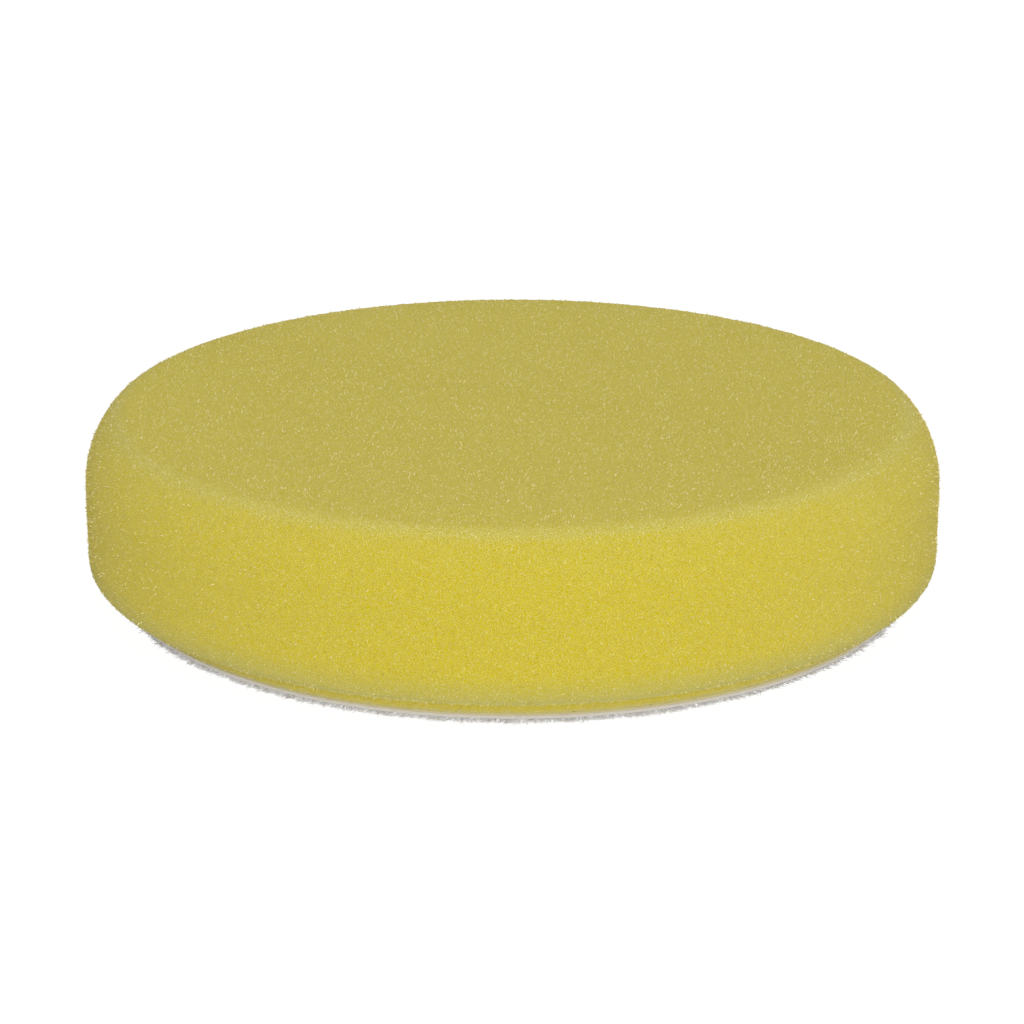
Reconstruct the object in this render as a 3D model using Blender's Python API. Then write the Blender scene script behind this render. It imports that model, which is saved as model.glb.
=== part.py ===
"""A round foam polishing pad lying on its loop backing, in metres, with +Z towards the working face.

The pad is a laminate of turned layers. From the bottom up these are the loop pile that it rests on, the
ground cloth that carries the loops, the adhesive film, and the foam body. The origin is on the axis of the
pad, at the height of the surface that it lies on.
"""

import math

import bmesh
import bpy

# Foam body
PAD_DIAMETER = 0.150
FOAM_THICKNESS = 0.030
RIM_INSET = 0.0054  # from the wall in to the crease round the working face
RIM_DEPTH = 0.0123  # from the working face down to where the rim meets the straight wall
TUCK_INSET = 0.0050  # from the wall in to the land above the backing
TUCK_HEIGHT = 0.0033  # height over which the lower edge is drawn in
LAND_HEIGHT = 0.00135  # straight foam edge between the tucked edge and the adhesive

# Backing layers
BACKING_SETBACK = 0.0008  # from the foam's land in to the cut edge of the backing
ADHESIVE_THICKNESS = 0.0002
CLOTH_THICKNESS = 0.0003
PILE_HEIGHT = 0.0007
PILE_EDGE_ROUND = 0.0004  # the loops at the cut edge lean outwards and upwards

# Clearance that separate layers keep where one is bonded to the next
BOND_GAP = 0.00025

# Fineness of the turned surfaces
TURN_STEPS = 96
RIM_STEPS = 14
TUCK_STEPS = 10
PILE_EDGE_STEPS = 4
SMOOTH_BELOW = math.radians(30)

# Seats of the layers, from the bottom up
CLOTH_SEAT = PILE_HEIGHT + BOND_GAP
ADHESIVE_SEAT = CLOTH_SEAT + CLOTH_THICKNESS + BOND_GAP
FOAM_SEAT = ADHESIVE_SEAT + ADHESIVE_THICKNESS + BOND_GAP

WALL_RADIUS = PAD_DIAMETER / 2
LAND_RADIUS = WALL_RADIUS - TUCK_INSET
BACKING_RADIUS = LAND_RADIUS - BACKING_SETBACK


def clear_scene():
    for obj in list(bpy.data.objects):
        bpy.data.objects.remove(obj, do_unlink=True)


def from_screen(red, green, blue):
    """A colour as it looks on a screen, from 0 to 255, turned into linear light."""

    def linear(level):
        share = level / 255
        if share <= 0.04045:
            return share / 12.92
        return ((share + 0.055) / 1.055) ** 2.4

    return (linear(red), linear(green), linear(blue), 1.0)


def plain_material(name, colour, roughness):
    material = bpy.data.materials.new(name)
    material.use_nodes = True
    shader = material.node_tree.nodes["Principled BSDF"]
    shader.inputs["Base Color"].default_value = colour
    shader.inputs["Roughness"].default_value = roughness
    shader.inputs["Metallic"].default_value = 0.0
    return material


def arc(centre, radii, start, end, steps):
    """Points of a round or elliptical arc, as (distance from the axis, height)."""
    points = []
    for step in range(steps + 1):
        angle = start + (end - start) * step / steps
        points.append((centre[0] + radii[0] * math.cos(angle), centre[1] + radii[1] * math.sin(angle)))
    return points


def foam_outline():
    """Half of the foam's cross-section, from the edge of the working face down to the adhesive."""
    # The rim is the arc that leaves the wall upright and reaches the crease after RIM_DEPTH of height
    rim_radius = (RIM_DEPTH**2 + RIM_INSET**2) / (2 * RIM_INSET)
    rim_base = FOAM_THICKNESS - RIM_DEPTH
    rim_sweep = math.atan2(RIM_DEPTH, rim_radius - RIM_INSET)
    rim = arc((WALL_RADIUS - rim_radius, rim_base), (rim_radius, rim_radius), rim_sweep, 0, RIM_STEPS)
    # The lower edge is a quarter of an ellipse, drawn in from the wall to the land
    tuck_top = LAND_HEIGHT + TUCK_HEIGHT
    tuck = arc((LAND_RADIUS, tuck_top), (TUCK_INSET, TUCK_HEIGHT), 0, -math.pi / 2, TUCK_STEPS)
    return rim + tuck + [(LAND_RADIUS, 0)]


def disc_outline(thickness):
    """Half of the cross-section of a layer that is cut square."""
    return [(BACKING_RADIUS, thickness), (BACKING_RADIUS, 0)]


def pile_outline():
    """Half of the cross-section of the loop pile, whose lower edge is rounded."""
    centre = (BACKING_RADIUS - PILE_EDGE_ROUND, PILE_EDGE_ROUND)
    edge = arc(centre, (PILE_EDGE_ROUND, PILE_EDGE_ROUND), 0, -math.pi / 2, PILE_EDGE_STEPS)
    return [(BACKING_RADIUS, PILE_HEIGHT)] + edge


def turned_solid(name, outline, seat, material, parent):
    """Turns an outline about the Z axis, closes it with flat faces and sets it at its seat."""
    shape = bmesh.new()
    corners = [shape.verts.new((reach, 0, height)) for reach, height in outline]
    edges = [shape.edges.new(pair) for pair in zip(corners, corners[1:])]
    bmesh.ops.spin(
        shape,
        geom=corners + edges,
        cent=(0, 0, 0),
        axis=(0, 0, 1),
        angle=2 * math.pi,
        steps=TURN_STEPS,
        use_merge=True,
    )
    open_edges = [edge for edge in shape.edges if edge.is_boundary]
    bmesh.ops.holes_fill(shape, edges=open_edges, sides=TURN_STEPS)
    bmesh.ops.recalc_face_normals(shape, faces=shape.faces)
    mesh = bpy.data.meshes.new(name)
    shape.to_mesh(mesh)
    shape.free()
    mesh.shade_smooth()
    mesh.set_sharp_from_angle(angle=SMOOTH_BELOW)
    mesh.materials.append(material)
    solid = bpy.data.objects.new(name, mesh)
    solid.location.z = seat
    solid.parent = parent
    bpy.context.scene.collection.objects.link(solid)
    return solid


def build_pad():
    clear_scene()
    axis = bpy.data.objects.new("pad_axis", None)
    bpy.context.scene.collection.objects.link(axis)

    foam = plain_material("yellow_foam", from_screen(212, 196, 72), 0.95)
    adhesive = plain_material("beige_adhesive", from_screen(204, 196, 168), 0.5)
    cloth = plain_material("white_knit", from_screen(214, 211, 205), 0.9)
    loops = plain_material("white_loops", from_screen(226, 224, 219), 0.85)

    turned_solid("loop_pile", pile_outline(), 0, loops, axis)
    turned_solid("loop_ground_cloth", disc_outline(CLOTH_THICKNESS), CLOTH_SEAT, cloth, axis)
    turned_solid("adhesive_film", disc_outline(ADHESIVE_THICKNESS), ADHESIVE_SEAT, adhesive, axis)
    turned_solid("foam_pad", foam_outline(), FOAM_SEAT, foam, axis)


build_pad()
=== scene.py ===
"""The looks of a round foam polishing pad on its loop backing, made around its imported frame."""

import math

import bpy
import numpy as np
from mathutils import Matrix, Vector


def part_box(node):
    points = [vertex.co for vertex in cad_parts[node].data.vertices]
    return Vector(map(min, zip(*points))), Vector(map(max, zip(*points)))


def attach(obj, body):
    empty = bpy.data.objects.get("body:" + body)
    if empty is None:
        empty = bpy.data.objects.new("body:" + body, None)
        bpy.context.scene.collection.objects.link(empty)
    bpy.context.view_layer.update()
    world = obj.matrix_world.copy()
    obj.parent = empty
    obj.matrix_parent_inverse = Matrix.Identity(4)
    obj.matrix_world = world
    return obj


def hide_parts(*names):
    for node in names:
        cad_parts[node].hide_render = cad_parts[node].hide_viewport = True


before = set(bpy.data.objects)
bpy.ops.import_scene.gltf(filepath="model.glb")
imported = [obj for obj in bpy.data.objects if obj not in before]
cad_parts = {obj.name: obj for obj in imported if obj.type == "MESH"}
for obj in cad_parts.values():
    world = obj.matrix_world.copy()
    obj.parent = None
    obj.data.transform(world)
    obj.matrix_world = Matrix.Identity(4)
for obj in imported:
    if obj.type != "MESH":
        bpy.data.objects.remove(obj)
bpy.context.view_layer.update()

# Sizes that the frame gives, in metres
FOAM_LOW, FOAM_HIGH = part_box("foam_pad")
WALL_RADIUS = FOAM_HIGH[0]
FACE_HEIGHT = FOAM_HIGH[2]
BACKING_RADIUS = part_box("loop_ground_cloth")[1][0]

# The foam's turned outline: as in the construction, but drawn in a little sooner over the land
RIM_INSET = 0.0054  # from the wall in to the crease round the working face
RIM_DEPTH = 0.0123  # from the working face down to where the rim meets the straight wall
TUCK_INSET = 0.0050  # from the wall in to the land above the backing
TUCK_HEIGHT = 0.0028  # height over which the lower edge is drawn in
LAND_HEIGHT = 0.00185  # straight foam edge between the tucked edge and the adhesive
FACE_RADIUS = WALL_RADIUS - RIM_INSET
LAND_RADIUS = WALL_RADIUS - TUCK_INSET
LAND_TOP = FOAM_LOW[2] + LAND_HEIGHT
TUCK_TOP = LAND_TOP + TUCK_HEIGHT
ARC_STEPS = 60

# How the cut foam rounds off towards its crease
EDGE_LIFT = 0.0003  # the edge of the face stands this much higher before it is rounded
CROWN = 0.0006  # height of the middle of the working face over its edge
CROWN_WIDTH = 0.014  # how far in from the crease the face begins to fall
CREASE_ROUND = 0.0050  # radius that takes the sharpness off the crease
LAND_ROUND = 0.0012  # radius of the inner corner over the land

# Open cells of the foam
FACE_STEPS = 210  # grid steps across the working face; a turn of the wall has four times as many
CELL_SIZE = 0.00037
CELL_DEPTH = 0.00014
CELL_JITTER = 0.35  # how far grid points are moved along the surface, as a share of their spacing
PROUD_SHARE = 0.40  # how much of the cell depth stands proud of the plain outline
MAP_SIDE = 0.215  # side of the square that the foam's surface is unrolled onto

# Broken ends of the cell struts
STRUT_COUNT = 49000  # on the working face, and again on the side
STRUT_WIDTH = 0.000078  # half of the width of a usual strut end
STRUT_HEIGHT = 0.00013
STRUT_ROOT = 0.00003  # how deep it stands in the foam

# Heights of the backing layers, which lie on each other with no gap that shows
BOND = 0.00002
FILM_TOP = 0.00165
FILM_BOTTOM = 0.00112
CLOTH_BOTTOM = 0.00060
PILE_GAP = 0.00003  # the felted roots of the pile keep this far from the floor

# Cut edge and pile of the backing
BACKING_SHIFT = 0.0004  # the backing is glued on this far off the foam's axis, towards +X
CUT_REACH = 0.0003  # the cut edge of the film and the cloth stands out this much
LOOP_SPACING = 0.00140
LOOP_THICKNESS = 0.00008  # radius of a yarn
FRINGE_COUNT = 9600
FRINGE_TUFTS = 640
FRINGE_THICKNESS = 0.000046  # radius of a usual yarn

# Screen colours of the foam's pits and of the net between them, painted light and shade at these places:
# each place is painted over the last
FOAM_PAINTED_LIGHT_AND_SHADE = {
    "crease": ((199, 183, 34), (233, 225, 148)),
    "edge": ((190, 178, 64), (209, 200, 124)),
    "land": ((199, 182, 14), (216, 206, 112)),
    "corner": ((241, 231, 116), (245, 237, 151)),
}

# Camera, from the photograph's outline
VIEW_DISTANCE = 0.560
VIEW_ELEVATION = math.radians(18.85)
AIM = Vector((-0.00008, 0.0, 0.0115))
FOCAL_PIXELS = 3144.4
PHOTO_PIXELS = 1024
SENSOR = 36.0


def from_screen(red, green, blue):
    """A colour as it looks on a screen, from 0 to 255, turned into linear light."""

    def linear(level):
        share = level / 255
        if share <= 0.04045:
            return share / 12.92
        return ((share + 0.055) / 1.055) ** 2.4

    return (linear(red), linear(green), linear(blue), 1.0)


WHITE = (1, 1, 1, 1)
CREAM = from_screen(245, 243, 235)


# Scatter and unevenness


def scattered(cubes, seed):
    """A fixed random place inside each cube of a grid, as three shares from 0 to 1."""
    cube_factors = (73856093, 19349663, 83492791)
    axis_factor = 2654435761
    stir_factor = 0x45D9F3B
    largest = 0xFFFFFFFF
    places = []
    for axis in range(3):
        mixed = np.bitwise_xor.reduce(cubes * np.array(cube_factors), axis=1)
        mixed = (mixed ^ (seed * 3 + axis) * axis_factor) & largest
        for _ in range(2):
            mixed = ((mixed >> 16) ^ mixed) * stir_factor & largest
        places.append(((mixed >> 16) ^ mixed) / largest)
    return np.stack(places, axis=1)


def cell_distance(points, size, seed):
    """Distance from each point to the nearest cell centre, as a share of the cell size."""
    near = points / size
    home = np.floor(near).astype(np.int64)
    nearest = np.full(len(points), np.inf)
    for step in np.ndindex(3, 3, 3):
        cube = home + (np.array(step) - 1)
        away = ((cube + scattered(cube, seed) - near) ** 2).sum(axis=1)
        nearest = np.minimum(nearest, away)
    return np.sqrt(nearest)


def ripple(angle, waves, seed):
    """Unevenness round an edge, from about -1 to 1, as a sum of sine waves."""
    starts = np.random.default_rng(seed).uniform(0, 2 * math.pi, len(waves))
    return sum(np.sin(count * angle + start) for count, start in zip(waves, starts)) / len(waves)


def smooth_step(share):
    """A share from 0 to 1 that starts and ends level, and stays 0 or 1 outside."""
    share = np.clip(share, 0, 1)
    return share * share * (3 - 2 * share)


# Meshes


def new_piece(name, points, faces, material, smooth=True):
    mesh = bpy.data.meshes.new(name)
    mesh.from_pydata(points.tolist(), [], faces)
    if smooth:
        mesh.shade_smooth()
    mesh.materials.append(material)
    piece = bpy.data.objects.new(name, mesh)
    bpy.context.scene.collection.objects.link(piece)
    return piece


def set_shares(piece, name, shares):
    """Stores one number for each point, for the material to read."""
    piece.data.attributes.new(name, "FLOAT", "POINT").data.foreach_set("value", shares)


def set_map(piece, places):
    """Stores a place on the flat map for each face corner, in the order of the faces."""
    layer = piece.data.uv_layers.new(name="OFBake")
    layer.uv.foreach_set("vector", np.asarray(places, np.float32).ravel())


def round_grid(steps):
    """A square grid bent into a disc of radius 1, with evenly spaced rim points, and that rim in order."""
    line = np.linspace(-1, 1, steps + 1)
    a, b = np.meshgrid(line, line, indexing="ij")
    wide = np.abs(a) > np.abs(b)
    reach = np.where(wide, a, b)
    safe = np.where(reach == 0, 1, reach)
    angle = np.where(wide, math.pi / 4 * b / safe, math.pi / 2 - math.pi / 4 * a / safe)
    places = np.stack([reach * np.cos(angle), reach * np.sin(angle)], axis=-1).reshape(-1, 2)
    index = np.arange((steps + 1) ** 2).reshape(steps + 1, steps + 1)
    quads = np.stack([index[:-1, :-1], index[1:, :-1], index[1:, 1:], index[:-1, 1:]], axis=-1)
    rim = np.concatenate([index[-1, :-1], index[:0:-1, -1], index[0, :0:-1], index[:-1, 0]])
    return places, quads.reshape(-1, 4), rim


def turn_angles(turns):
    """Angles round the axis that match the rim of a round grid."""
    return np.arange(turns) * 2 * math.pi / turns - math.pi / 4


def ring_points(reach, height, turns):
    """Points round the axis at one height. Their distance from the axis may differ from one to the next."""
    angle = turn_angles(turns)
    return np.column_stack([reach * np.cos(angle), reach * np.sin(angle), np.full(turns, height)])


def side_quads(rings):
    """Faces between rings of point numbers, each ring below the one before."""
    quads = []
    for upper, lower in zip(rings, rings[1:]):
        quads.append(np.stack([lower, np.roll(lower, -1), np.roll(upper, -1), upper], axis=1))
    return np.concatenate(quads)


def arc(centre, radii, start, end):
    """Points of a round or elliptical arc, as (distance from the axis, height)."""
    angle = np.linspace(start, end, ARC_STEPS + 1)
    return np.stack([centre[0] + radii[0] * np.cos(angle), centre[1] + radii[1] * np.sin(angle)], axis=1)


def evenly(points, spacing):
    """Points along a line at about this spacing, with its two ends kept."""
    along = np.concatenate([[0], np.cumsum(np.linalg.norm(np.diff(points, axis=0), axis=1))])
    count = max(1, round(along[-1] / spacing))
    wanted = np.linspace(0, along[-1], count + 1)
    return np.stack([np.interp(wanted, along, points[:, axis]) for axis in range(2)], axis=1)


# Outline of the foam


def face_height(reach):
    """Height of the working face: flat in the middle, and falling a little towards the crease."""
    fall = np.clip((reach - (FACE_RADIUS - CROWN_WIDTH)) / CROWN_WIDTH, 0, 1)
    return FACE_HEIGHT + EDGE_LIFT + CROWN * (1 - fall**2)


def crease_and_rim():
    """The rounded crease, and the rim from there down to the wall."""
    rim_radius = (RIM_DEPTH**2 + RIM_INSET**2) / (2 * RIM_INSET)
    rim_centre = np.array([WALL_RADIUS - rim_radius, FACE_HEIGHT - RIM_DEPTH])
    # The crease is a small arc that touches the face's last slope and the rim from inside
    slope = math.atan(2 * CROWN / CROWN_WIDTH)
    along_face = np.array([math.cos(slope), -math.sin(slope)])
    above_face = np.array([math.sin(slope), math.cos(slope)])
    corner = np.array([FACE_RADIUS, FACE_HEIGHT + EDGE_LIFT])
    offset = corner - CREASE_ROUND * above_face - rim_centre
    ahead = offset @ along_face
    back = math.sqrt(ahead**2 - offset @ offset + (rim_radius - CREASE_ROUND) ** 2) - ahead
    crease_centre = rim_centre + offset + back * along_face
    rim_start = math.atan2(*(crease_centre - rim_centre)[::-1])
    crease = arc(crease_centre, (CREASE_ROUND, CREASE_ROUND), math.pi / 2 - slope, rim_start)
    rim = arc(rim_centre, (rim_radius, rim_radius), rim_start, 0)
    return np.concatenate([crease, rim])


def tuck_and_land():
    """The lower edge that is drawn in, the inner corner under it, and the foot of the land."""
    tuck_end = math.acos(LAND_ROUND / TUCK_INSET)
    tuck = arc((LAND_RADIUS, TUCK_TOP), (TUCK_INSET, TUCK_HEIGHT), 0, -tuck_end)
    corner_centre = (LAND_RADIUS + LAND_ROUND, tuck[-1, 1] - LAND_ROUND)
    inner_corner = arc(corner_centre, (LAND_ROUND, LAND_ROUND), math.pi / 2, math.pi)
    land_foot = [(LAND_RADIUS, FILM_TOP + BOND)]
    return np.concatenate([tuck, inner_corner, land_foot])


def foam_outline(spacing):
    """The foam's side from the crease down to the film, with the outward direction at each point."""
    outline = evenly(np.concatenate([crease_and_rim(), tuck_and_land()]), spacing)
    along = np.gradient(outline, axis=0)
    along /= np.linalg.norm(along, axis=1, keepdims=True)
    outward = np.stack([-along[:, 1], along[:, 0]], axis=1)
    return outline, outward


# Places on the foam with painted light and shade, and where glue soaked in


def crease_and_face_light(points):
    """Near 1 at the crease, painted pale as light shining through the thin edge, less on the face, painted
    a little pale as its sheen, and 0 far down the wall.
    """
    crease_light_share = 0.75
    crease_light_reach = 0.0015
    pale_share = 0.22
    pale_reach = 0.0070
    face_fade = 0.0040
    reach = np.hypot(points[:, 0], points[:, 1])
    from_crease = np.hypot(reach - FACE_RADIUS, points[:, 2] - FACE_HEIGHT)
    crease_light = np.exp(-((from_crease / crease_light_reach) ** 2))
    pale = np.exp(-((from_crease / pale_reach) ** 2))
    face = smooth_step((points[:, 2] - FACE_HEIGHT) / face_fade + 1)
    return crease_light_share * crease_light + pale_share * np.maximum(pale, face)


def lower_edge_shade_and_light(points):
    """1 under the lower edge, which is painted darker and greyer, as shade where it turns down from the
    lamps and as floor light shining through the thin foam, and 0 up the wall and on the land.
    """
    rise = 0.0040  # how far above the tucked edge it begins
    fade = 0.0055
    lower = smooth_step((TUCK_TOP + rise - points[:, 2]) / fade)
    return lower * (1 - land_closeness(points))


def land_closeness(points):
    """1 on the lower part of the land, fading to 0 towards its top, where its colour is painted light and
    shade, set to balance the light that reaches it under the tucked edge.
    """
    full_height = 0.0006
    fade = 0.0010
    return 1 - smooth_step((points[:, 2] - FOAM_LOW[2] - full_height) / fade)


def corner_light_closeness(points):
    """1 in the middle of the inner corner over the land, which is painted pale as light against its own
    shade, fading to 0 round it.
    """
    middle_out = 0.0024
    middle_up = 0.0004
    fade_out = 0.0020
    fade_up = 0.0008
    reach = np.hypot(points[:, 0], points[:, 1])
    outwards = (reach - LAND_RADIUS - middle_out) / fade_out
    upwards = (points[:, 2] - LAND_TOP - middle_up) / fade_up
    return np.exp(-(outwards**2) - upwards**2)


def glue_closeness(points):
    """1 at the foot of the land, where the foam has soaked up glue, fading to 0."""
    soaked_height = 0.0008
    return 1 - smooth_step((points[:, 2] - FILM_TOP) / soaked_height)


# Foam body


def foam_map(places, face_quads, rings, turns):
    """Map places for the working face, the side in four strips, and the underside, all on one square."""
    margin = 0.0015
    strip_long = 0.118
    strip_high = 0.035
    under_radius = 0.034
    under_centre = 0.178
    face = (places[face_quads] * FACE_RADIUS + FACE_RADIUS + margin).reshape(-1, 2)
    down = np.linspace(0, strip_high, rings)
    quarter = turns // 4
    strip = np.arange(turns) // quarter
    start = (np.arange(turns) % quarter) / quarter * strip_long
    step = strip_long / quarter
    long_way = np.stack([start, start + step, start + step, start], axis=1)
    shelf = 2 * FACE_RADIUS + 3 * margin + (strip % 2)[:, None] * (strip_high + margin)
    corners = []
    for upper, lower in zip(down, down[1:]):
        high_way = np.tile((lower, lower, upper, upper), (turns, 1))
        lying = np.stack([long_way + margin, high_way + shelf], axis=-1)
        standing = lying[:, :, ::-1]
        corners.append(np.where((strip < 2)[:, None, None], lying, standing))
    side = np.concatenate(corners).reshape(-1, 2)
    angle = turn_angles(turns)[::-1]
    under = np.stack([np.cos(angle), np.sin(angle)], axis=1) * under_radius + under_centre
    return np.concatenate([face, side, under]) / MAP_SIDE


def foam_surface(places, rim, turns, spacing):
    """The plain surface: a grid over the face and rings down the side, with their outward directions."""
    outline, outward = foam_outline(spacing)
    face = places * outline[0, 0]
    points = [np.column_stack([face, face_height(np.hypot(*face.T))])]
    normals = [np.tile((0.0, 0.0, 1.0), (len(face), 1))]
    rings = [rim]
    for (reach, height), (out, up) in zip(outline[1:], outward[1:]):
        rings.append(sum(len(part) for part in points) + np.arange(turns))
        points.append(ring_points(reach, height, turns))
        normals.append(ring_points(out, up, turns))
    return np.concatenate(points), np.concatenate(normals), rings


def make_foam(material):
    """The cut foam, roughened by its cells, and what the struts need: its points, directions and faces."""
    corner_light_shares = (0.7, 1.0)  # the corner's painted light is broken up between these
    places, face_quads, rim = round_grid(FACE_STEPS)
    turns = 4 * FACE_STEPS
    spacing = 2 * math.pi * WALL_RADIUS / turns
    points, normals, rings = foam_surface(places, rim, turns, spacing)
    chance = np.random.default_rng(seed=3)
    relief = (chance.uniform(0, 1, len(points)) - (1 - PROUD_SHARE)) * CELL_DEPTH
    jitter = chance.uniform(-CELL_JITTER, CELL_JITTER, points.shape) * spacing
    rough = points + jitter * (1 - np.abs(normals)) + normals * relief[:, None]
    rough[:, 2] = np.maximum(rough[:, 2], FILM_TOP + BOND)
    wall_quads = side_quads(rings)
    faces = face_quads.tolist() + wall_quads.tolist() + [rings[-1][::-1].tolist()]
    piece = new_piece("foam_body", rough, faces, material)
    set_shares(piece, "crease", crease_and_face_light(points))
    set_shares(piece, "edge", lower_edge_shade_and_light(points))
    set_shares(piece, "land", land_closeness(points))
    set_shares(piece, "glue", glue_closeness(points))
    set_shares(piece, "corner", corner_light_closeness(points) * chance.uniform(*corner_light_shares, len(points)))
    set_map(piece, foam_map(places, face_quads, len(rings), turns))
    return piece, rough, normals, face_quads, wall_quads


# Struts


def strut_map():
    """Map places for the four faces of each strut, in a small square for each."""
    low = 0.05
    high = 0.42
    wide = math.ceil(math.sqrt(STRUT_COUNT))
    index = np.arange(STRUT_COUNT)
    square = np.stack([index % wide, index // wide], axis=1)[:, None, None]
    quarters = np.array([(0, 0), (0.5, 0), (0, 0.5), (0.5, 0.5)])[:, None]
    triangle = np.array([(low, low), (high, low), (low, high)])
    return ((square + quarters + triangle) / wide).reshape(-1, 2)


def inside_faces(values, faces, u, v):
    """Blends what the four corners of each face have, at the place (u, v) inside it."""
    weights = [(1 - u) * (1 - v), u * (1 - v), u * v, (1 - u) * v]
    return sum(weight * values[faces[:, corner]] for corner, weight in enumerate(weights))


def make_struts(name, points, normals, quads, palest, uneven, seed, material):
    """Broken ends of the cell struts, which stand out of the cut foam; pale ones tend to be larger."""
    size_spread = 0.3
    size_limits = (0.5, 1.8)
    dull_size = 0.8
    pale_growth = 0.5
    height_limits = (0.4, 3.0)
    lean_spread = 0.25
    chance = np.random.default_rng(seed)
    spot = quads[chance.integers(0, len(quads), STRUT_COUNT)]
    u, v = chance.uniform(0, 1, (2, STRUT_COUNT, 1))
    base = inside_faces(points, spot, u, v)
    out = inside_faces(normals, spot, u, v)
    shade = chance.uniform(0, palest, STRUT_COUNT)
    size = np.clip(chance.lognormal(0, size_spread, STRUT_COUNT), *size_limits)
    size *= dull_size + pale_growth * shade
    wide = STRUT_WIDTH * size[:, None]
    lean = chance.normal(0, lean_spread, (STRUT_COUNT, 3))
    across = np.cross(out, chance.normal(0, 1, (STRUT_COUNT, 3)))
    across /= np.linalg.norm(across, axis=1, keepdims=True)
    third = np.cross(out, across)
    stretch = chance.lognormal(0, uneven, STRUT_COUNT)
    tall = STRUT_HEIGHT * np.clip(size * stretch, *height_limits)[:, None]
    corners = [base + tall * (out + lean)]
    for turn in (0, 2 * math.pi / 3, 4 * math.pi / 3):
        aside = math.cos(turn) * across + math.sin(turn) * third
        corners.append(base - STRUT_ROOT * out + wide * aside)
    cloud = np.stack(corners, axis=1).reshape(-1, 3)
    cloud[:, 2] = np.maximum(cloud[:, 2], FILM_TOP + BOND)
    first = len(corners) * np.arange(STRUT_COUNT)[:, None, None]
    sides = np.array([(1, 2, 0), (2, 3, 0), (3, 1, 0), (3, 2, 1)])
    piece = new_piece(name, cloud, (first + sides).reshape(-1, 3).tolist(), material, smooth=False)
    set_shares(piece, "shade", np.repeat(shade, len(corners)))
    set_map(piece, strut_map())
    return piece


# Film and cloth


def shifted(piece):
    """Moves a piece of the backing to where the backing is glued on."""
    piece.data.transform(Matrix.Translation((BACKING_SHIFT, 0, 0)))
    return piece


def turned_disc(name, outline, turns, uneven, material):
    """A thin turned layer. uneven gives, for each ring, how far its points lie off the plain circle."""
    angle = turn_angles(turns)
    points = []
    rings = []
    for row, (reach, height) in enumerate(outline):
        rings.append(row * turns + np.arange(turns))
        points.append(ring_points(reach + uneven(angle, row), height, turns))
    faces = side_quads(rings).tolist() + [rings[0].tolist(), rings[-1][::-1].tolist()]
    return new_piece(name, np.concatenate(points), faces, material)


def make_film(material):
    """The bond line: a film that was squeezed out a little and cut with the cloth."""
    turns = 1080
    bulge = 0.00008
    wobble = 0.00006
    waves = (37, 61, 113, 190)
    middle = (FILM_TOP + FILM_BOTTOM) / 2
    radius = BACKING_RADIUS + CUT_REACH
    outline = [(radius, FILM_TOP), (radius + bulge, middle), (radius, FILM_BOTTOM)]

    def uneven(angle, row):
        return wobble * ripple(angle, waves, seed=11 + row)

    return turned_disc("bond_film", outline, turns, uneven, material)


def make_cloth(material):
    """The knitted ground of the loop fabric, cut round, so that its yarn ends show as fine notches."""
    yarns = 420
    rows = 5
    notch = 0.00005
    wobble = 0.00007
    waves = (23, 41, 89, 150)
    heights = np.linspace(FILM_BOTTOM - BOND, CLOTH_BOTTOM, rows)
    outline = [(BACKING_RADIUS + CUT_REACH, height) for height in heights]

    def uneven(angle, row):
        notches = notch * np.sin(yarns * angle + row * math.pi / 2)
        return notches + wobble * ripple(angle, waves, seed=21)

    return turned_disc("ground_cloth", outline, 4 * yarns, uneven, material)


# Pile


def make_roots(material):
    """The felted roots of the pile: a low body with rows of tufts underneath and an uneven edge."""
    steps = 180
    turns = 4 * steps
    setback = 0.0002
    tuft_size = 0.0011
    tuft_reach = 1.2  # as a share of the tuft's size
    tuft_depth = 0.00022
    row_spacing = 0.0017
    row_depth = 0.00010
    edge_width = 0.0020
    edge_lift = 0.00035
    wobble = 0.00020
    waves = (31, 67, 121, 201, 333)
    radius = BACKING_RADIUS - setback
    places, quads, rim = round_grid(steps)
    flat = np.column_stack([places * radius, np.full(len(places), PILE_GAP)])
    tufts = tuft_depth * (1 - smooth_step(tuft_reach - cell_distance(flat, tuft_size, seed=31)))
    rows = np.sin(2 * math.pi * flat[:, 0] / row_spacing) * 0.5 + 0.5
    relief = tufts + row_depth * rows
    lifted = smooth_step((np.hypot(flat[:, 0], flat[:, 1]) - radius) / edge_width + 1)
    flat[:, 2] += relief + (edge_lift - relief) * lifted
    edge = radius + wobble * ripple(turn_angles(turns), waves, seed=32)
    points = np.concatenate([flat, ring_points(edge, CLOTH_BOTTOM - BOND, turns)])
    top = len(flat) + np.arange(turns)
    faces = quads[:, ::-1].tolist() + side_quads([top, rim]).tolist() + [top.tolist()]
    return new_piece("pile_roots", points, faces, material)


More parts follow.
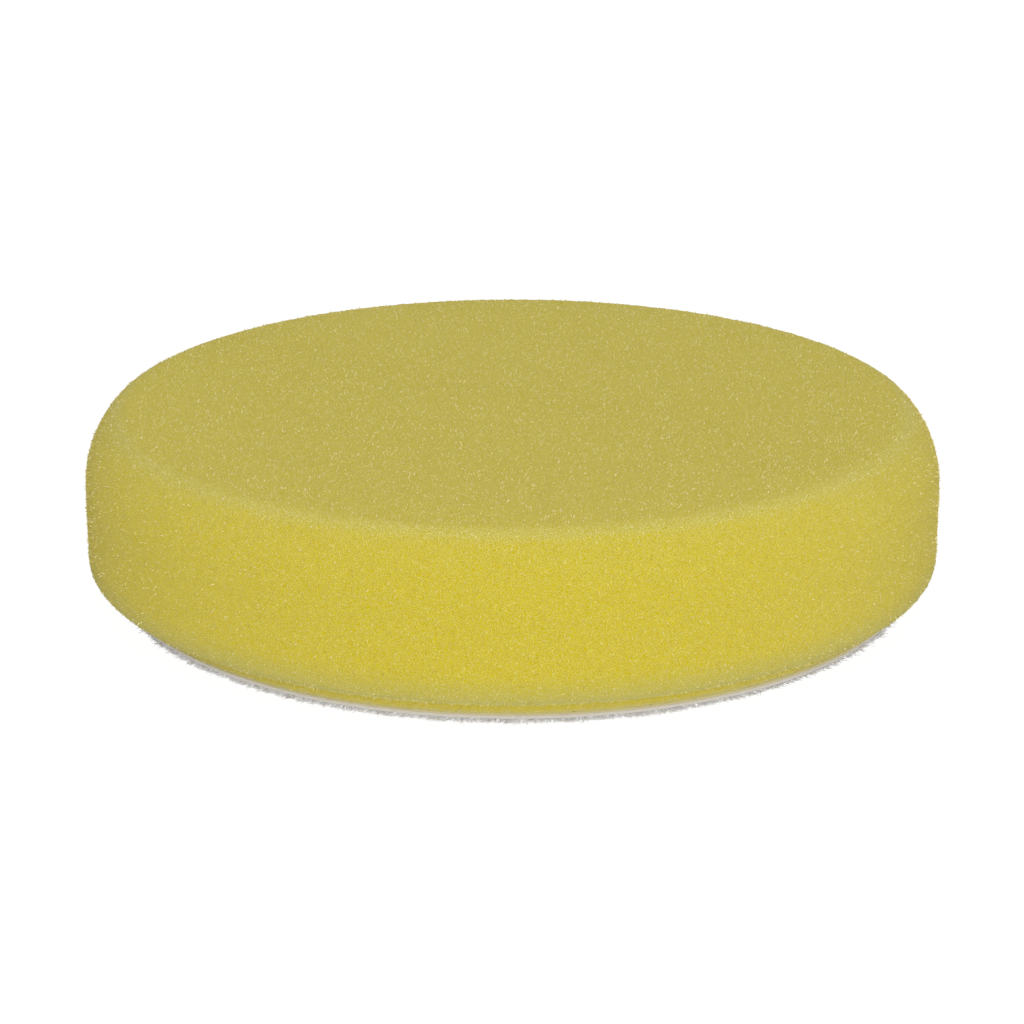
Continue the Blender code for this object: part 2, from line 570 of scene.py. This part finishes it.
def tube_map(count, steps, sides):
    """Map places for many unrolled tubes, each in its own small square with its two caps."""
    wall_foot = 0.1
    wall_rise = 0.8
    wall_left = 0.05
    wall_width = 0.9
    cap_feet = (0.0, 0.91)
    cap_rise = 0.08
    cap_left = 0.1
    cap_middle = 0.2
    cap_right = 0.3
    wide = math.ceil(math.sqrt(count))
    column = (np.arange(count) % wide)[:, None, None]
    row = (np.arange(count) // wide)[:, None, None]
    low = wall_foot + wall_rise * np.arange(steps - 1)[None, :, None] / (steps - 1)
    high = low + wall_rise / (steps - 1)
    left = wall_left + wall_width * np.arange(sides)[None, None, :] / sides
    right = left + wall_width / sides
    corners = [(left, low), (right, low), (right, high), (left, high)]
    walls = [np.stack(np.broadcast_arrays(column + u, row + v), axis=-1) for u, v in corners]
    parts = [np.stack(walls, axis=3).reshape(-1, 2)]
    square = np.concatenate([column, row], axis=2)
    for foot in cap_feet:
        triangle = np.array([(cap_left, foot), (cap_right, foot), (cap_middle, foot + cap_rise)])
        parts.append((square + triangle).reshape(-1, 2))
    return np.concatenate(parts) / wide


def make_tubes(name, paths, thickness, shade, material):
    """Closed yarns of three sides along many paths at once, each with its own shade."""
    sides = 3
    tip_share = 0.7  # how thick a yarn still is at its end
    skew = (0.31, 0.17, 0.93)  # a direction that hardly any yarn runs along
    count, steps = paths.shape[:2]
    along = np.gradient(paths, axis=1)
    along /= np.linalg.norm(along, axis=2, keepdims=True)
    across = np.cross(along, skew)
    across /= np.linalg.norm(across, axis=2, keepdims=True)
    third = np.cross(along, across)
    turn = 2 * math.pi * np.arange(sides) / sides
    taper = np.linspace(1.0, tip_share, steps)[None, :, None, None]
    radius = taper * np.reshape(thickness, (-1, 1, 1, 1))
    spread = np.cos(turn)[:, None] * across[:, :, None] + np.sin(turn)[:, None] * third[:, :, None]
    points = (paths[:, :, None] + radius * spread).reshape(-1, 3)
    index = np.arange(len(points)).reshape(count, steps, sides)
    here = index[:, :-1]
    after = index[:, 1:]
    quads = np.stack([here, np.roll(here, -1, axis=2), np.roll(after, -1, axis=2), after], axis=-1)
    caps = np.concatenate([index[:, 0, ::-1], index[:, -1]])
    piece = new_piece(name, points, quads.reshape(-1, 4).tolist() + caps.tolist(), material)
    set_shares(piece, "shade", np.repeat(shade, steps * sides))
    set_map(piece, tube_map(count, steps, sides))
    return piece


def headed_paths(x, y, heading, forward, aside, height):
    """Paths that start at places on the backing and run forward of a heading, and aside of it."""
    cos = np.cos(heading)[:, None]
    sin = np.sin(heading)[:, None]
    return np.stack([x + forward * cos - aside * sin, y + forward * sin + aside * cos, height], axis=-1)


def make_loops(material):
    """Loops over the whole underside, each from the cloth down to the floor and back."""
    edge_margin = 0.0008
    usual_heading = 0.6
    heading_spread = 0.9
    spans = (0.0005, 0.0013)
    side_lean = 0.0005
    uneven = 0.00015
    root_depth = 0.0002
    path_points = 5
    root_height = CLOTH_BOTTOM - root_depth
    chance = np.random.default_rng(seed=41)
    line = np.arange(-BACKING_RADIUS, BACKING_RADIUS, LOOP_SPACING)
    x, y = (part.ravel() for part in np.meshgrid(line, line))
    x = x + chance.uniform(-0.5, 0.5, len(x)) * LOOP_SPACING
    y = y + chance.uniform(-0.5, 0.5, len(y)) * LOOP_SPACING
    inside = np.hypot(x, y) < BACKING_RADIUS - edge_margin
    x = x[inside][:, None]
    y = y[inside][:, None]
    count = len(x)
    heading = chance.normal(usual_heading, heading_spread, count)
    span = chance.uniform(*spans, count)
    lean = chance.uniform(-side_lean, side_lean, count)
    low = LOOP_THICKNESS + chance.uniform(0, uneven, count)
    share = np.linspace(0, 1, path_points)
    bow = np.sin(math.pi * share)
    forward = span[:, None] * (share - 0.5)
    height = root_height - (root_height - low)[:, None] * bow
    paths = headed_paths(x, y, heading, forward, lean[:, None] * bow, height)
    return make_tubes("pile_loops", paths, LOOP_THICKNESS, chance.uniform(0, 1, count), material)


def fringe_paths(chance):
    """Yarns in tufts: shorter towards the left and right, and with raised ends towards +X."""
    path_points = 4
    tuft_width = 0.008  # as an angle round the axis
    root_depths = (0.0001, 0.0005)
    shortest = 0.0007
    tuft_length = 0.0006
    usual_tail = 0.00026
    longest_tail = 0.0012
    side_loss = 0.0004
    lowest_root = 0.0002
    lowest_end = 0.00006
    tuft_lift = 0.00010
    yarn_lift = 0.00012
    raised_lift = 0.0008
    raised_from = 0.50  # as a share of the way from the axis towards +X
    raised_fade = 0.25
    side_spread = 0.35
    curl_spread = 0.30
    fall = 0.7  # below 1, so that a yarn drops near its root and then runs flat
    tuft = chance.integers(0, FRINGE_TUFTS, FRINGE_COUNT)
    tuft_turn = (np.arange(FRINGE_TUFTS) + chance.uniform(0, 1, FRINGE_TUFTS)) / FRINGE_TUFTS
    length_share = chance.uniform(0, 1, FRINGE_TUFTS)[tuft]
    lift_share = chance.uniform(0, 1, FRINGE_TUFTS)[tuft]
    angle = 2 * math.pi * tuft_turn[tuft] + chance.normal(0, tuft_width, FRINGE_COUNT)
    start = BACKING_RADIUS - chance.uniform(*root_depths, FRINGE_COUNT)
    tail = np.clip(chance.exponential(usual_tail, FRINGE_COUNT), 0, longest_tail)
    length = shortest + tuft_length * length_share + tail - side_loss * np.abs(np.cos(angle))
    begin = chance.uniform(lowest_root, CLOTH_BOTTOM, FRINGE_COUNT)
    finish = lowest_end + tuft_lift * lift_share + chance.uniform(0, yarn_lift, FRINGE_COUNT)
    raised = smooth_step((np.cos(angle) - raised_from) / raised_fade)
    finish += raised * chance.uniform(0, raised_lift, FRINGE_COUNT)
    spread = chance.normal(0, side_spread, FRINGE_COUNT)
    curl = chance.normal(0, curl_spread, FRINGE_COUNT)
    share = np.linspace(0, 1, path_points)
    out = start[:, None] + length[:, None] * np.cos(spread)[:, None] * share
    aside = length[:, None] * (np.sin(spread)[:, None] * share + curl[:, None] * share**2)
    height = begin[:, None] + (finish - begin)[:, None] * share**fall
    return headed_paths(0, 0, angle, out, aside, height)


def make_fringe(material):
    """Cut and pulled yarns that stand out round the edge of the backing and lie low over the floor."""
    thickness_shares = (0.6, 1.6)
    chance = np.random.default_rng(seed=51)
    paths = fringe_paths(chance)
    thickness = FRINGE_THICKNESS * chance.uniform(*thickness_shares, FRINGE_COUNT)
    return make_tubes("pile_fringe", paths, thickness, chance.uniform(0, 1, FRINGE_COUNT), material)


# Nodes


def material_tree(name):
    material = bpy.data.materials.new(name)
    material.use_nodes = True
    tree = material.node_tree
    return material, tree, tree.nodes["Principled BSDF"]


def add_node(tree, kind, values=None, links=None, **settings):
    node = tree.nodes.new(kind)
    for key, value in settings.items():
        setattr(node, key, value)
    for key, value in (values or {}).items():
        node.inputs[key].default_value = value
    for key, socket in (links or {}).items():
        tree.links.new(socket, node.inputs[key])
    return node


def mix_colour(tree, factor, first, second):
    """A colour mix. First and second are sockets or plain colours."""
    # The mix node has sockets for every type of data, and these are the places of those for colours
    first_slot = 6
    second_slot = 7
    result_slot = 2
    node = tree.nodes.new("ShaderNodeMix")
    node.data_type = "RGBA"
    tree.links.new(factor, node.inputs[0])
    for slot, value in ((first_slot, first), (second_slot, second)):
        if isinstance(value, bpy.types.NodeSocket):
            tree.links.new(value, node.inputs[slot])
        else:
            node.inputs[slot].default_value = value
    return node.outputs[result_slot]


def ramp(tree, socket, low, high):
    """A smooth step from 0 at low to 1 at high."""
    node = add_node(
        tree,
        "ShaderNodeMapRange",
        {"From Min": low, "From Max": high},
        {"Value": socket},
        interpolation_type="SMOOTHSTEP",
    )
    return node.outputs["Result"]


def multiply(tree, socket, share):
    node = add_node(tree, "ShaderNodeMath", {1: share}, {0: socket}, operation="MULTIPLY")
    return node.outputs["Value"]


def vector_math(tree, operation, links, values=None):
    node = add_node(tree, "ShaderNodeVectorMath", values, links, operation=operation)
    return node.outputs["Vector"]


def object_place(tree):
    return add_node(tree, "ShaderNodeTexCoord").outputs["Object"]


def attribute(tree, name):
    return add_node(tree, "ShaderNodeAttribute", attribute_name=name).outputs["Fac"]


def flat_cells(tree, place, size, feature, output):
    """Cells of this size on the flat map."""
    node = add_node(
        tree,
        "ShaderNodeTexVoronoi",
        {"Scale": 1 / size},
        {"Vector": place},
        feature=feature,
        voronoi_dimensions="2D",
    )
    return node.outputs[output]


def patches(tree, place, size, detail=2.0):
    """Soft patches of about this size."""
    values = {"Scale": 1 / size, "Detail": detail}
    return add_node(tree, "ShaderNodeTexNoise", values, {"Vector": place}).outputs["Fac"]


def warped(tree, place, size):
    """The flat place moved about by noise, so that cells of this size lose their regular shape."""
    fineness = 0.6
    reach = 1.6
    values = {"Scale": fineness / size, "Detail": 1.0}
    noise = add_node(tree, "ShaderNodeTexNoise", values, {"Vector": place}, noise_dimensions="2D")
    centred = vector_math(tree, "SUBTRACT", {0: noise.outputs["Color"]}, {1: (0.5, 0.5, 0.5)})
    aside = vector_math(tree, "SCALE", {0: centred}, {"Scale": reach * size})
    return vector_math(tree, "ADD", {0: place, 1: aside})


def set_shader(shader, roughness, specular, sheen, sheen_roughness, tint):
    """Plain values of a matt, slightly fuzzy surface."""
    shader.inputs["Roughness"].default_value = roughness
    shader.inputs["Diffuse Roughness"].default_value = 0.35
    shader.inputs["Specular IOR Level"].default_value = specular
    shader.inputs["Sheen Weight"].default_value = sheen
    shader.inputs["Sheen Roughness"].default_value = sheen_roughness
    shader.inputs["Sheen Tint"].default_value = tint


def set_bump(tree, shader, height, strength, distance):
    values = {"Strength": strength, "Distance": distance}
    bump = add_node(tree, "ShaderNodeBump", values, {"Height": height})
    tree.links.new(bump.outputs["Normal"], shader.inputs["Normal"])


# Materials


def foam_material():
    """Open cells on the unrolled surface: deep yellow pits in a paler net, with painted light and shade by
    place.
    """
    # The pits are painted darker and deeper yellow than the net: painted shade in the cell hollows over the
    # foam's own yellow.
    dark_pit = from_screen(202, 181, 0)
    bright_pit = from_screen(210, 191, 10)
    glued = from_screen(216, 205, 152)
    glue_share = 0.7
    net_side = 0.20  # from here in to the middle of a strand the net grows stronger
    net_middle = 0.01
    material, tree, shader = material_tree("yellow_foam")
    size = CELL_SIZE / MAP_SIDE
    flat = add_node(tree, "ShaderNodeUVMap", uv_map="OFBake").outputs["UV"]
    flat = warped(tree, flat, size)
    from_strand = flat_cells(tree, flat, size, "DISTANCE_TO_EDGE", "Distance")
    net = ramp(tree, from_strand, net_side, net_middle)
    cell_colour = flat_cells(tree, flat, size, "F1", "Color")
    chance = add_node(tree, "ShaderNodeSeparateColor", None, {"Color": cell_colour}).outputs["Red"]
    pit = mix_colour(tree, chance, dark_pit, bright_pit)
    strand = from_screen(222, 210, 104)
    for place, (pit_there, strand_there) in FOAM_PAINTED_LIGHT_AND_SHADE.items():
        share = attribute(tree, place)
        pit = mix_colour(tree, share, pit, from_screen(*pit_there))
        strand = mix_colour(tree, share, strand, from_screen(*strand_there))
    colour = mix_colour(tree, net, pit, strand)
    glue = multiply(tree, attribute(tree, "glue"), glue_share)
    colour = mix_colour(tree, glue, colour, glued)
    tree.links.new(colour, shader.inputs["Base Color"])
    set_shader(shader, roughness=0.95, specular=0.10, sheen=0.18, sheen_roughness=0.6, tint=CREAM)
    set_bump(tree, shader, net, strength=0.5, distance=0.00025)
    return material


def strut_material():
    """The same foam where it is thinnest: yellow on the dull struts, and cream on the palest, which are
    thin foam and also painted highlights for glints off the cell walls.
    """
    yellow = from_screen(204, 186, 44)
    palest = from_screen(240, 232, 180)
    material, tree, shader = material_tree("yellow_foam_struts")
    pale = ramp(tree, attribute(tree, "shade"), 0.3, 0.9)
    tree.links.new(mix_colour(tree, pale, yellow, palest), shader.inputs["Base Color"])
    set_shader(shader, roughness=0.9, specular=0.2, sheen=0.18, sheen_roughness=0.6, tint=CREAM)
    return material


def film_material():
    """Beige film, yellower towards the foam and stained in patches."""
    beige = from_screen(210, 202, 176)
    yellowed = from_screen(208, 195, 120)
    stained = from_screen(194, 182, 138)
    stain_size = 0.0012
    stain_share = 0.4
    material, tree, shader = material_tree("beige_adhesive")
    place = object_place(tree)
    stain = patches(tree, place, stain_size)
    height = add_node(tree, "ShaderNodeSeparateXYZ", None, {"Vector": place}).outputs["Z"]
    colour = mix_colour(tree, ramp(tree, height, FILM_BOTTOM, FILM_TOP), beige, yellowed)
    colour = mix_colour(tree, multiply(tree, stain, stain_share), colour, stained)
    tree.links.new(colour, shader.inputs["Base Color"])
    set_shader(shader, roughness=0.6, specular=0.3, sheen=0.1, sheen_roughness=0.5, tint=WHITE)
    set_bump(tree, shader, stain, strength=0.3, distance=0.0001)
    return material


def yarn_material(name, pale, dull_and_shade, grain):
    """White nylon yarn: painted shade between the fibres, and dull on some yarns and where it is soiled."""
    soil_size = 0.006
    soil_share = 0.35
    material, tree, shader = material_tree(name)
    place = object_place(tree)
    # Painted shade between the fibres, which also drives their bump
    fibres = patches(tree, place, grain, detail=3.0)
    soil = ramp(tree, patches(tree, place, soil_size), 0.5, 0.8)
    dull_yarn = ramp(tree, attribute(tree, "shade"), 0.7, 1.0)
    colour = mix_colour(tree, ramp(tree, fibres, 0.25, 0.50), dull_and_shade, pale)
    colour = mix_colour(tree, dull_yarn, colour, dull_and_shade)
    colour = mix_colour(tree, multiply(tree, soil, soil_share), colour, dull_and_shade)
    tree.links.new(colour, shader.inputs["Base Color"])
    set_shader(shader, roughness=0.85, specular=0.25, sheen=0.4, sheen_roughness=0.5, tint=WHITE)
    set_bump(tree, shader, fibres, strength=0.5, distance=0.00008)
    return material


# Stage


def make_camera():
    data = bpy.data.cameras.new("photo_camera")
    data.sensor_fit = "HORIZONTAL"
    data.sensor_width = SENSOR
    data.lens = FOCAL_PIXELS * SENSOR / PHOTO_PIXELS
    data.clip_start = 0.01
    camera = bpy.data.objects.new("photo_camera", data)
    away = Vector((0, -math.cos(VIEW_ELEVATION), math.sin(VIEW_ELEVATION)))
    camera.location = AIM + away * VIEW_DISTANCE
    camera.rotation_euler = (-away).to_track_quat("-Z", "Y").to_euler()
    bpy.context.scene.collection.objects.link(camera)
    bpy.context.scene.camera = camera


def add_lamp(name, azimuth, elevation, distance, size, energy):
    """A round lamp aimed at the pad. Azimuth 0 is in front of it, and angles are in degrees."""
    data = bpy.data.lights.new(name, "AREA")
    data.shape = "DISK"
    data.size = size
    data.energy = energy
    light = bpy.data.objects.new(name, data)
    side = math.radians(azimuth)
    flat = math.cos(math.radians(elevation)) * distance
    high = math.sin(math.radians(elevation)) * distance
    away = Vector((flat * math.sin(side), -flat * math.cos(side), high))
    light.location = AIM + away
    light.rotation_euler = (-away).to_track_quat("-Z", "Y").to_euler()
    bpy.context.scene.collection.objects.link(light)


def add_lamps():
    """A large soft key lamp, a wide one overhead for the working face, and a weak one for the far side."""
    add_lamp("key_light", azimuth=5.5, elevation=15, distance=1.2, size=0.5, energy=7.3)
    add_lamp("top_light", azimuth=0, elevation=90, distance=1.4, size=1.2, energy=4.9)
    add_lamp("back_light", azimuth=180, elevation=10, distance=1.2, size=0.6, energy=2.5)


def seen_directly(tree):
    """1 for rays that show the background itself: from the camera, a reflection or through glass."""
    path = add_node(tree, "ShaderNodeLightPath").outputs
    total = path["Is Camera Ray"]
    for name in ("Is Glossy Ray", "Is Transmission Ray"):
        node = add_node(tree, "ShaderNodeMath", None, {0: total, 1: path[name]}, operation="MAXIMUM")
        total = node.outputs["Value"]
    return total


def set_world():
    """Even soft light from all round, behind a white background."""
    fill = 0.40
    world = bpy.data.worlds.new("studio")
    bpy.context.scene.world = world
    world.use_nodes = True
    tree = world.node_tree
    back = tree.nodes["Background"]
    back.inputs["Color"].default_value = WHITE
    strengths = {"To Min": fill, "To Max": 1.0}
    strength = add_node(tree, "ShaderNodeMapRange", strengths, {"Value": seen_directly(tree)})
    tree.links.new(strength.outputs["Result"], back.inputs["Strength"])


def make_floor():
    """A pale floor that looks white, and keeps a faint shadow of the pad."""
    span = 3.0
    paper_colour = (0.85, 0.85, 0.85, 1)
    white_strength = 1.12  # makes up for the share of the paper, which is darker than white
    paper_share = 0.15
    material, tree, shader = material_tree("pale_floor")
    tree.nodes.remove(shader)
    paper = add_node(tree, "ShaderNodeBsdfDiffuse", {"Color": paper_colour}).outputs[0]
    white = add_node(tree, "ShaderNodeEmission", {"Strength": white_strength}).outputs[0]
    seen = add_node(tree, "ShaderNodeMixShader", {"Fac": paper_share}, {1: white, 2: paper}).outputs[0]
    both = add_node(tree, "ShaderNodeMixShader", None, {"Fac": seen_directly(tree), 1: paper, 2: seen})
    tree.links.new(both.outputs[0], tree.nodes["Material Output"].inputs["Surface"])
    corners = np.array([(-span, -span, 0), (span, -span, 0), (span, span, 0), (-span, span, 0)])
    new_piece("studio_floor", corners, [[0, 1, 2, 3]], material)


def dress(piece, node):
    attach(piece, "root")
    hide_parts(node)
    return piece


bpy.context.scene.view_settings.view_transform = "Standard"
make_camera()
add_lamps()
set_world()
make_floor()

foam, points, normals, face_quads, wall_quads = make_foam(foam_material())
dress(foam, "foam_pad")
tips = strut_material()
face_struts = make_struts(
    "face_struts", points, normals, face_quads, palest=1.0, uneven=0.15, seed=5, material=tips
)
side_struts = make_struts(
    "side_struts", points, normals, wall_quads, palest=0.88, uneven=0.65, seed=6, material=tips
)
dress(face_struts, "foam_pad")
dress(side_struts, "foam_pad")
dress(shifted(make_film(film_material())), "adhesive_film")

knit = yarn_material("white_knit", from_screen(219, 214, 206), from_screen(203, 197, 184), grain=0.0003)
cloth = dress(shifted(make_cloth(knit)), "loop_ground_cloth")

nylon = yarn_material("white_loops", from_screen(250, 249, 251), from_screen(220, 217, 215), grain=0.0004)
roots = dress(shifted(make_roots(nylon)), "loop_pile")
loops = dress(shifted(make_loops(nylon)), "loop_pile")
fringe = dress(shifted(make_fringe(nylon)), "loop_pile")
